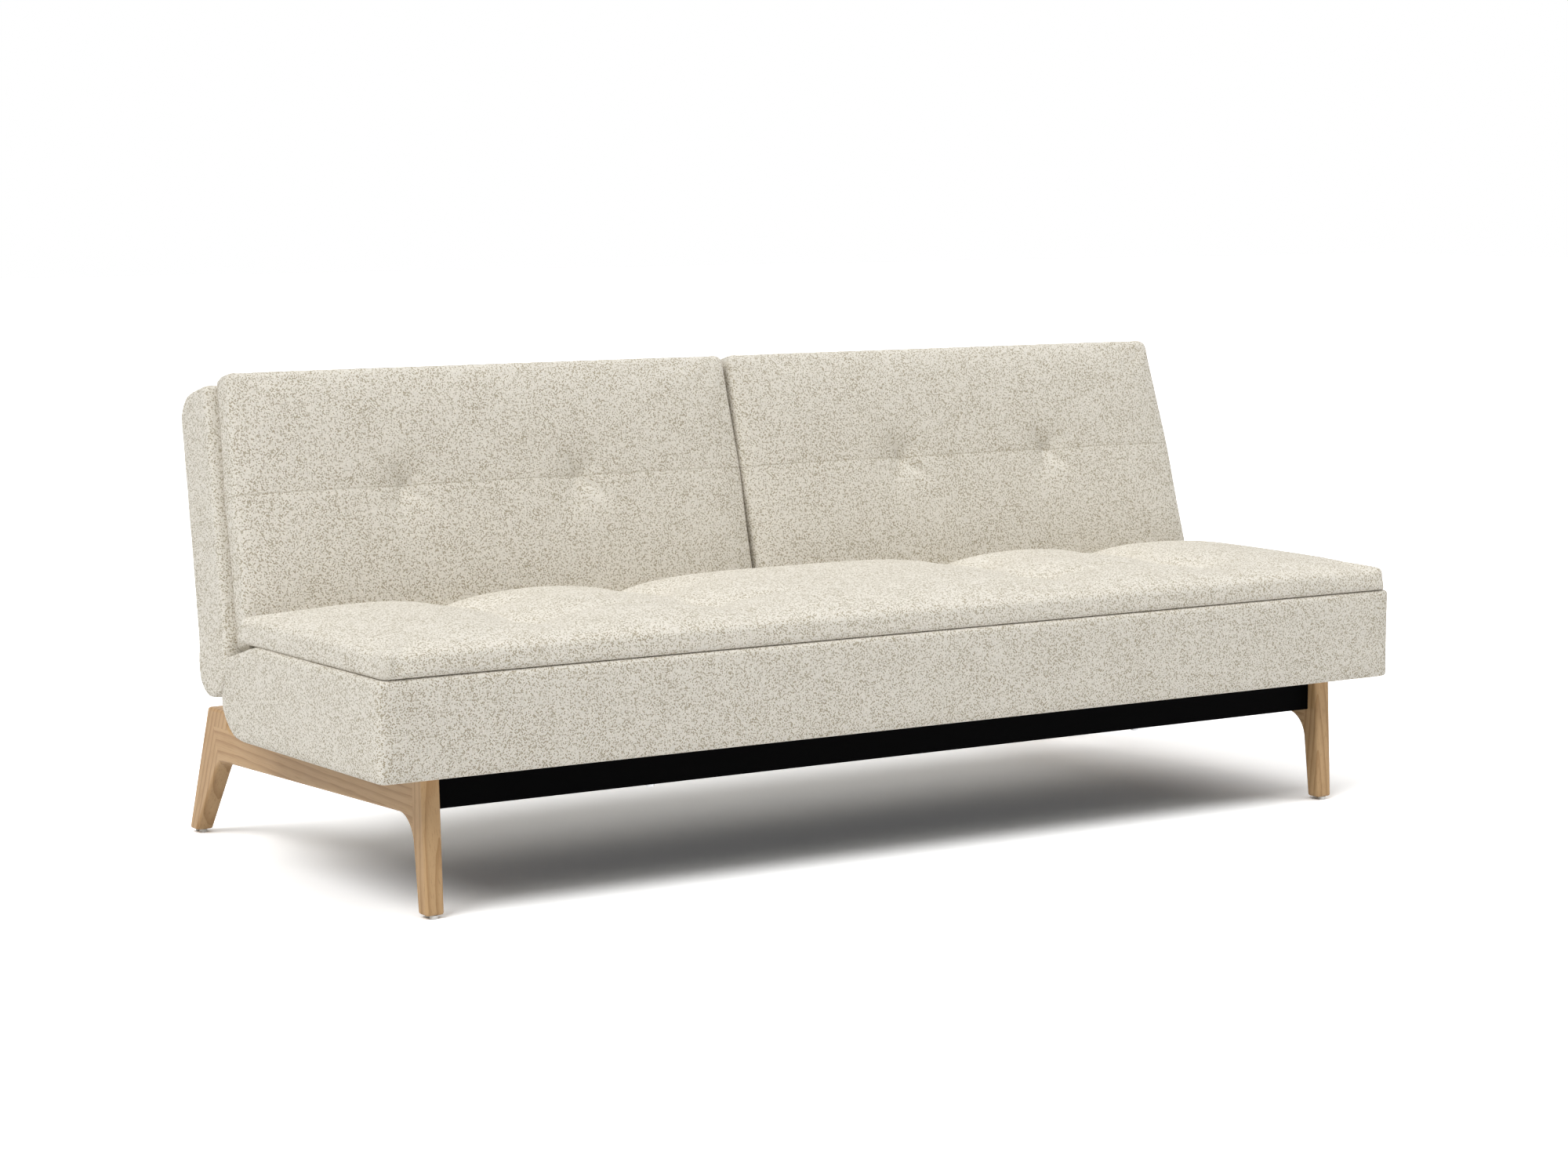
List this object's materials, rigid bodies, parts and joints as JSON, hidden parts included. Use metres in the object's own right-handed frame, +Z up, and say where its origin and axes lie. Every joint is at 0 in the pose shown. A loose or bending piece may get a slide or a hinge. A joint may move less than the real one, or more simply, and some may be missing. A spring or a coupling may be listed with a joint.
{
  "type": "sofa bed",
  "caption": "Upholstered sofa bed with a split back that folds flat, level with its tufted seat, on splayed wooden end frames joined by black steel rails.",
  "frame": {"origin": "on the floor under the middle of the sofa's box", "axes": "+X along the sofa, to the right as seen from the front, +Y to the rear, +Z up"},
  "size_m": [2.1, 0.9385, 0.8331],
  "materials": {
    "upholstery": "oatmeal twill with fine dark flecks",
    "oak": "light natural oak, oiled",
    "black_steel": "black powder coat",
    "zinc_steel": "zinc plated",
    "glide_plastic": "off-white plastic",
    "plywood": "bent birch plywood",
    "holder_plastic": "black plastic",
    "dust_cloth": "black non-woven cloth",
    "foam": "cream foam",
    "webbing": "black elastic webbing"
  },
  "bodies": {
    "base": {"left_front_leg": "oak", "left_side_rail": "oak", "left_rear_leg": "oak", "left_outer_hinge_plate": "zinc_steel", "left_outer_hinge_pin": "zinc_steel", "left_inner_hinge_plate": "zinc_steel", "left_inner_hinge_pin": "zinc_steel", "right_front_leg": "oak", "right_side_rail": "oak", "right_rear_leg": "oak", "right_outer_hinge_plate": "zinc_steel", "right_outer_hinge_pin": "zinc_steel", "right_inner_hinge_plate": "zinc_steel", "right_inner_hinge_pin": "zinc_steel", "foot_glides": "glide_plastic", "front_cross_rail": "black_steel", "rear_cross_rail": "black_steel", "seat_frame": "black_steel", "rail_bolts": "zinc_steel", "seat_bolts": "zinc_steel", "hinge_plate_bolts": "zinc_steel", "seat_slats": "plywood", "slat_holders": "holder_plastic", "dust_cover": "dust_cloth", "seat_foam": "foam", "seat_box": "upholstery", "seat_pad": "upholstery"},
    "left_back": {"left_back_shell": "upholstery", "left_back_pad": "upholstery", "left_back_frame": "black_steel", "left_back_webbing": "webbing", "left_back_foam": "foam", "left_hinge_arm_bolts": "zinc_steel", "left_outer_hinge_arm": "zinc_steel", "left_inner_hinge_arm": "zinc_steel"},
    "right_back": {"right_back_shell": "upholstery", "right_back_pad": "upholstery", "right_back_frame": "black_steel", "right_back_webbing": "webbing", "right_back_foam": "foam", "right_hinge_arm_bolts": "zinc_steel", "right_outer_hinge_arm": "zinc_steel", "right_inner_hinge_arm": "zinc_steel"},
    "left_pawls": {"left_outer_pawl": "zinc_steel", "left_inner_pawl": "zinc_steel"},
    "right_pawls": {"right_outer_pawl": "zinc_steel", "right_inner_pawl": "zinc_steel"}
  },
  "joints": [
    {"name": "left_back_recline", "type": "hinge", "parent": "base", "child": "left_back", "pos_m": [-0.515, 0.1525, 0.345], "axis": [-1, 0, 0], "range_deg": [0, 75]},
    {"name": "right_back_recline", "type": "hinge", "parent": "base", "child": "right_back", "pos_m": [0.515, 0.1525, 0.345], "axis": [-1, 0, 0], "range_deg": [0, 75]},
    {"name": "left_pawl_drop", "type": "hinge", "parent": "left_back", "child": "left_pawls", "pos_m": [-0.515, 0.14405, 0.39075], "axis": [-1, 0, 0], "range_deg": [0, 11.5]},
    {"name": "right_pawl_drop", "type": "hinge", "parent": "right_back", "child": "right_pawls", "pos_m": [0.515, 0.14405, 0.39075], "axis": [-1, 0, 0], "range_deg": [0, 11.5]}
  ]
}
